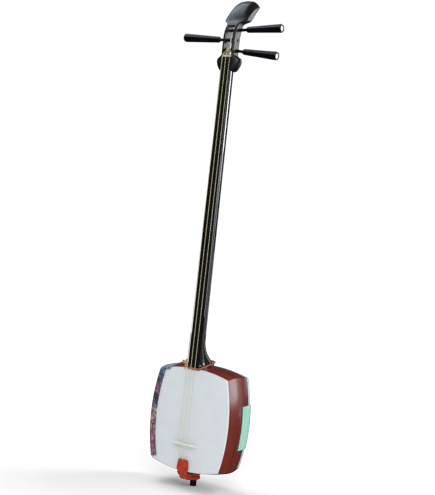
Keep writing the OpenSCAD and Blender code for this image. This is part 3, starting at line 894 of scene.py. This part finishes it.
def add_bridge():
    """The bridge: an arched foot, sloping sides, a narrow rounded crest with three notches."""
    foot_y = BRIDGE[1][1]
    height = foot_y - BRIDGE_TOP
    half_foot, half_top = 29.0, 26.0
    arch_half, arch_h, arch_soft = 18.0, 4.0, 5.0
    foot_t, top_t, notch, notch_w = 5.6, 1.8, 0.45, 0.55
    rings = []
    for x in np.linspace(-half_foot, half_foot, 233):
        lean = (half_foot - abs(x)) / (half_foot - half_top)
        top = height * min(1.0, max(0.12, lean))
        for k in (-1, 0, 1):
            top -= notch * math.exp(-(((x - k * BRIDGE_SPACING) / notch_w) ** 2))
        rise = min(1.0, max(0.0, (arch_half - abs(x)) / arch_soft))
        bottom = arch_h * rise * rise * (3 - 2 * rise)
        levels = (bottom, bottom + 0.5, 0.6 * top, top - 0.5)
        half = [(t, foot_t / 2 + (top_t - foot_t) / 2 * t / height) for t in levels]
        half[0] = (bottom, half[1][1] - 0.3)
        crest = [(top - 0.12, 0.62), (top, 0.25)]
        profile = half + crest
        ring = [(x, foot_y - t, BRIDGE_Z + s) for t, s in profile]
        ring += [(x, foot_y - t, BRIDGE_Z - s) for t, s in reversed(profile)]
        rings.append(ring)
    add_piece("bridge_carved", [loft(rings)], "ivory", body="bridge",
              replaces=["bridge"], sharp=40)


PIN_R, LOOP_R = 5.8, 3.5
LOOP_REACH = PIN_R + LOOP_R + 0.1
OUTER_HALF = [
    (-7, -46, 40), (-7, -46.4, 36), (-7.2, -44.5, 31.6), (-7.6, -39.5, 28.3),
    (-8.4, -28, 26.2), (-9, -12, 25), (-LOOP_REACH, 0, 24.5),
]
INNER_HALF = [
    (-2.6, -46, 40), (-2.6, -46.4, 36), (-2.7, -45.2, 30), (-3.2, -41.5, 24.5),
    (-5.2, -30, 19.8), (-8.4, -14, 17.4), (-LOOP_REACH, 0, 16.8),
]


def whole_loop(half):
    z = half[-1][2]
    pin = [(LOOP_REACH * math.cos(a), LOOP_REACH * math.sin(a), z)
           for a in np.radians(np.arange(150, 0, -30))]
    return half + pin + [(-x, y, z) for x, y, z in reversed(half)]


def add_tailpiece():
    """Seven silk cords plaited flat, then two laid loops that go round the end pin."""
    low, high = BRAID
    count, period = 7, 26.0
    middle_y = (low[1] + high[1]) / 2
    strand_r = 2.35
    plait = []
    for k in range(count):
        line = []
        for z in np.linspace(low[2] - 1, high[2] - strand_r, 40):
            angle = 2 * math.pi * (z / period + k / count)
            share = (z - low[2]) / (high[2] - low[2])
            half_w = 11.4 - 2.6 * max(0.0, share) ** 2
            line.append((half_w * math.sin(angle), middle_y + 1.05 * math.sin(2 * angle), z))
        plait += laid_rope(catmull(line, 0.8), strand_r, 3, 7.0, phase=k)
    binding = [(13.0 * math.cos(a), middle_y + 3.1 * math.sin(a), low[2] + 1.6 * (a / 6.3) - 1)
               for a in np.linspace(0, 4 * math.pi, 60)]
    plait += laid_rope(catmull(binding, 0.8), 1.1, 2, 4.0)
    add_piece("tailpiece_plait", plait, "vermilion",
              replaces=["tailpiece_braid"], sharp=80)
    loops = []
    for half in (OUTER_HALF, INNER_HALF):
        loops += laid_rope(catmull(whole_loop(half), 1.0), LOOP_R, 3, 15.0, sides=12)
    add_piece("tailpiece_cords", loops, "vermilion",
              replaces=["tailpiece_loops"], sharp=80)


# ---- the arm cover's cord ----

CORD_PATH = [
    (-52.5, -12, 242.6), (-40, -14, 244.1), (-28, -20, 245), (-20, -31, 244.6), (-17.4, -41, 243.4),
    (-13, -46, 241.8), (-6, -46.3, 241.2), (8, -46.3, 241.2), (14.5, -45.4, 241.8), (16, -40, 243.4),
    (16, -22, 246.5), (16, -6, 249), (15, 5, 251), (12, 14, 252), (6.5, 21, 252), (0, 23, 252),
    (-6.5, 21, 252), (-12, 14, 252), (-15, 5, 251), (-16, -6, 249.5), (-16, -22, 249),
    (-16.2, -36, 248.8), (-17, -43, 248.8),
]
KNOT = (-15.2, -49, 250.8)


def add_cover_cord():
    """The cover's cord round the heel, tied in a small bow at the left."""
    rope = laid_rope(catmull(CORD_PATH, 0.7), 1.6, 3, 7.5)
    add_piece("cover_cord_laid", rope, "orange", replaces=["cover_cord"], sharp=80)
    x, y, z = KNOT
    bow = [
        [(x, y, z), (x - 3.5, y - 1.5, z + 3.2), (x - 6.5, y - 1.5, z + 3.4), (x - 7, y - 1, z + 0.8),
         (x - 3.5, y - 0.5, z - 0.4), (x, y, z)],
        [(x, y, z), (x + 2.6, y - 1.2, z + 3.6), (x + 3.4, y - 1.4, z + 6.4), (x + 1.2, y - 1.2, z + 6.6),
         (x + 0.4, y - 0.8, z + 3), (x, y, z)],
        [(x, y, z), (x - 0.6, y - 1.6, z - 4), (x - 0.8, y - 1.4, z - 8), (x - 0.8, y - 1.2, z - 13)],
        [(x, y, z), (x + 2.4, y - 0.8, z - 3), (x + 4.0, y - 0.6, z - 6), (x + 4.4, y - 1.0, z - 10)],
    ]
    parts = []
    for line in bow:
        parts += laid_rope(catmull(line, 0.6), 1.1, 2, 4.4)
    wrap = [(x + 2.6 * math.cos(a), y - 0.5 + 2.4 * math.sin(a), z - 1.6 + 3.2 * a / (4 * math.pi))
            for a in np.linspace(0, 4 * math.pi, 40)]
    parts += laid_rope(catmull(wrap, 0.6), 1.3, 2, 5.0)
    add_piece("cover_bow", parts, "gold_cord", replaces=["cover_knot"], sharp=80)


# ---- floor ----


def add_floor():
    """A white floor that shows only the soft shadow under the object."""
    s = Surface("floor", Roughness=0.8, Specular_IOR_Level=0.1)
    cloud = s.noise(6, detail=3)
    s.set("Base Color", s.ramp(cloud, [(0.3, (0.94, 0.94, 0.94)), (0.7, (0.96, 0.96, 0.96))]))
    radius, segments, below = 3.0, 96, 0.0002
    angles = np.linspace(0, 2 * math.pi, segments, endpoint=False)
    rim = [(radius * math.cos(a), radius * math.sin(a), 0) for a in angles]
    mesh = bpy.data.meshes.new("floor")
    mesh.from_pydata(rim, [], [tuple(range(segments))])
    mesh.materials.append(s.material)
    floor = bpy.data.objects.new("floor", mesh)
    floor.location.z = -below
    floor.is_shadow_catcher = True
    floor.visible_glossy = False
    bpy.context.scene.collection.objects.link(floor)


add_camera()
add_world()
add_lights()
add_floor()
dress_nodes()
add_neck()
add_headstock()
add_pegs()
add_strings()
add_bridge()
add_tailpiece()
add_cover_cord()

bpy.context.view_layer.update()
